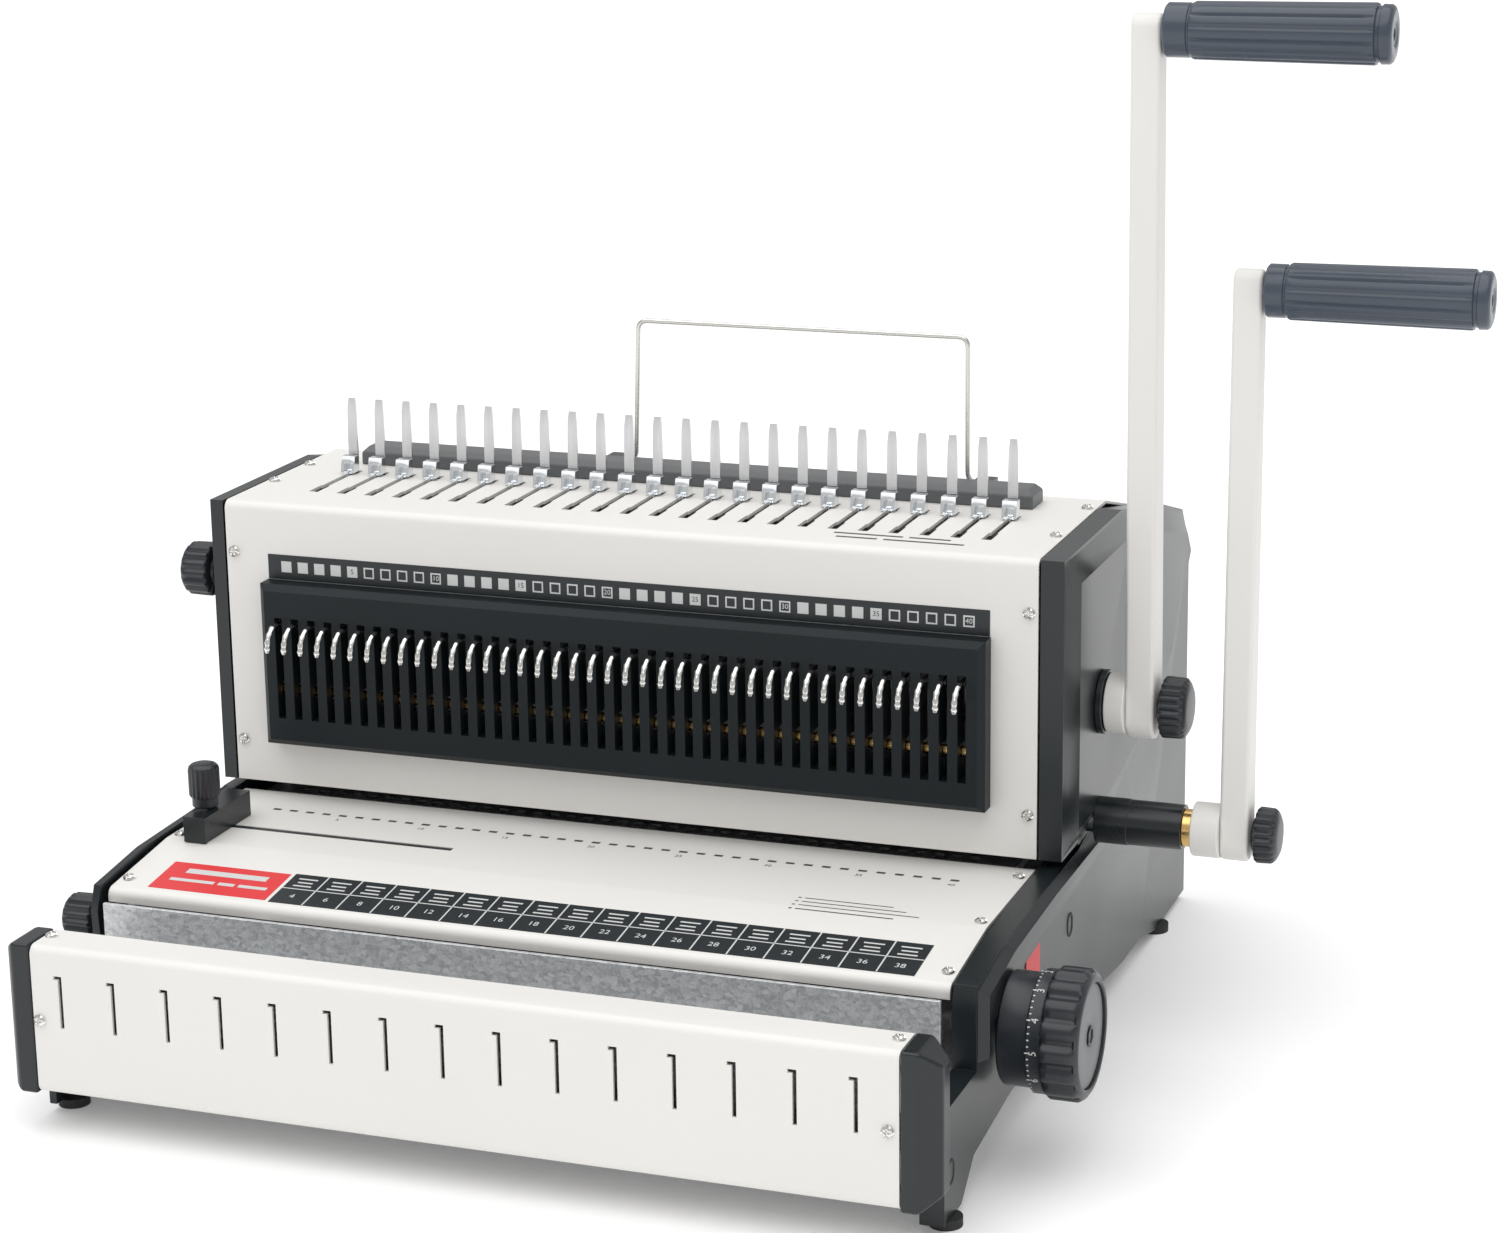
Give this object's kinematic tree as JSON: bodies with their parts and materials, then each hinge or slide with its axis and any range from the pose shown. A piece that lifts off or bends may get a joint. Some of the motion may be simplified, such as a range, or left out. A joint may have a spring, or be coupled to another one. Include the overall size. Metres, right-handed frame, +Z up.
{
  "type": "comb and wire binding machine",
  "caption": "Table-top manual punch and binder with a hooded punch, comb fingers, wire hooks, a front wire closer bar, a size dial and two side levers with grips.",
  "frame": {"origin": "on the desk, under the middle of the whole object's box", "axes": "+X along the machine towards the levers, +Y from the user to the back, +Z up"},
  "size_m": [0.61, 0.455, 0.4705],
  "materials": {
    "white_coat": "fine powder coat, satin",
    "black_moulding": "moulded, satin",
    "black_knob": "moulded, satin",
    "grip": "moulded, half gloss",
    "galvanised": "zinc coated sheet",
    "steel": "machined",
    "bright_plate": "bright nickel plate",
    "zinc_wire": "zinc plated wire",
    "grey_bar": "grey paint, satin",
    "brass": "turned",
    "rubber": "moulded",
    "label_white": "printed film",
    "label_black": "printed film",
    "label_red": "printed film"
  },
  "bodies": {
    "frame": {"upper_cover": "white_coat", "rear_cover": "white_coat", "deck_plate": "white_coat", "front_bar_cover": "white_coat", "side_panel_left": "black_moulding", "side_panel_right": "black_moulding", "front_bar_cap_left": "black_moulding", "front_bar_cap_right": "black_moulding", "hook_panel": "black_moulding", "lower_shaft_sleeve": "black_moulding", "upper_shaft_ring": "black_moulding", "stand_clips": "black_moulding", "base_plate": "galvanised", "side_plate_left": "galvanised", "side_plate_right": "galvanised", "front_bar_core": "galvanised", "channel_floor": "galvanised", "jaw_guides": "galvanised", "lower_die": "steel", "upper_die": "steel", "beam_guide_pins": "steel", "beam_springs": "steel", "comb_fingers": "steel", "machine_screws": "steel", "wire_hooks": "bright_plate", "comb_back_rest": "grey_bar", "brass_rod": "brass", "lower_shaft_bush": "brass", "rubber_feet": "rubber", "spacing_label": "label_white", "size_table_label": "label_black", "title_label": "label_red", "dial_pointer_label": "label_red"},
    "upper_lever": {"upper_shaft": "steel", "upper_hub": "white_coat", "upper_arm": "white_coat", "upper_grip_pin": "steel"},
    "upper_grip": {"upper_grip": "grip"},
    "upper_knob": {"upper_knob": "black_knob"},
    "lower_lever": {"lower_shaft": "steel", "lower_hub": "white_coat", "lower_arm": "white_coat", "lower_grip_pin": "steel"},
    "lower_grip": {"lower_grip": "grip"},
    "lower_knob": {"lower_knob": "black_knob"},
    "punch_unit": {"punch_beam": "steel", "punch_pins": "steel"},
    "comb_puller": {"comb_puller": "bright_plate"},
    "closing_jaw": {"jaw_plate": "galvanised", "jaw_push_rods": "galvanised"},
    "size_dial": {"size_dial": "black_knob", "dial_shaft": "steel", "dial_knob_left": "black_knob"},
    "margin_stop": {"margin_knob": "black_knob", "margin_shaft": "steel"},
    "edge_guide": {"edge_guide": "black_moulding"},
    "guide_knob": {"guide_knob": "black_knob"},
    "chip_tray": {"chip_tray": "black_moulding"},
    "paper_stand": {"paper_stand": "zinc_wire"}
  },
  "joints": [
    {"name": "upper_lever_swing", "type": "hinge", "parent": "frame", "child": "upper_lever", "pos_m": [0.1325, 0.0245, 0.159], "axis": [1, 0, 0], "range_deg": [0, 90]},
    {"name": "punch_stroke", "type": "slide", "parent": "frame", "child": "punch_unit", "axis": [0, 0, -1], "range_m": [0, 0.014], "deforming": ["beam_springs"]},
    {"name": "comb_pull", "type": "slide", "parent": "frame", "child": "comb_puller", "axis": [0, -1, 0], "range_m": [0, 0.022]},
    {"name": "upper_grip_spin", "type": "hinge", "parent": "upper_lever", "child": "upper_grip", "pos_m": [0.2175, 0.0135, 0.4575], "axis": [1, 0, 0], "continuous": true},
    {"name": "upper_knob_turn", "type": "hinge", "parent": "upper_lever", "child": "upper_knob", "pos_m": [0.1735, 0.0245, 0.159], "axis": [1, 0, 0], "continuous": true},
    {"name": "lower_lever_swing", "type": "hinge", "parent": "frame", "child": "lower_lever", "pos_m": [0.1325, 0.0212, 0.1048], "axis": [1, 0, 0], "range_deg": [0, 90]},
    {"name": "jaw_stroke", "type": "slide", "parent": "frame", "child": "closing_jaw", "axis": [0, -1, 0], "range_m": [0, 0.032]},
    {"name": "lower_grip_spin", "type": "hinge", "parent": "lower_lever", "child": "lower_grip", "pos_m": [0.2575, 0.0212, 0.348], "axis": [1, 0, 0], "continuous": true},
    {"name": "lower_knob_turn", "type": "hinge", "parent": "lower_lever", "child": "lower_knob", "pos_m": [0.2155, 0.0212, 0.1048], "axis": [1, 0, 0], "continuous": true},
    {"name": "size_dial_turn", "type": "hinge", "parent": "frame", "child": "size_dial", "pos_m": [0.1575, -0.1255, 0.061], "axis": [1, 0, 0], "range_deg": [0, 300]},
    {"name": "margin_turn", "type": "hinge", "parent": "frame", "child": "margin_stop", "pos_m": [-0.2865, -0.0135, 0.198], "axis": [1, 0, 0], "range_deg": [0, 180]},
    {"name": "edge_guide_slide", "type": "slide", "parent": "frame", "child": "edge_guide", "axis": [1, 0, 0], "range_m": [0, 0.105]},
    {"name": "guide_knob_turn", "type": "hinge", "parent": "edge_guide", "child": "guide_knob", "pos_m": [-0.2535, -0.0865, 0.1163], "axis": [0, 0, 1], "continuous": true},
    {"name": "chip_tray_slide", "type": "slide", "parent": "frame", "child": "chip_tray", "axis": [0, 1, 0], "range_m": [0, 0.26]},
    {"name": "paper_stand_fold", "type": "hinge", "parent": "frame", "child": "paper_stand", "pos_m": [-0.0225, 0.0855, 0.2405], "axis": [-1, 0, 0], "range_deg": [0, 75]}
  ],
  "couplings": [
    {"joint": "punch_stroke", "follows": "upper_lever_swing", "m_per_rad": 0.0089},
    {"joint": "comb_pull", "follows": "upper_lever_swing", "m_per_rad": 0.014},
    {"joint": "jaw_stroke", "follows": "lower_lever_swing", "m_per_rad": 0.0203}
  ]
}
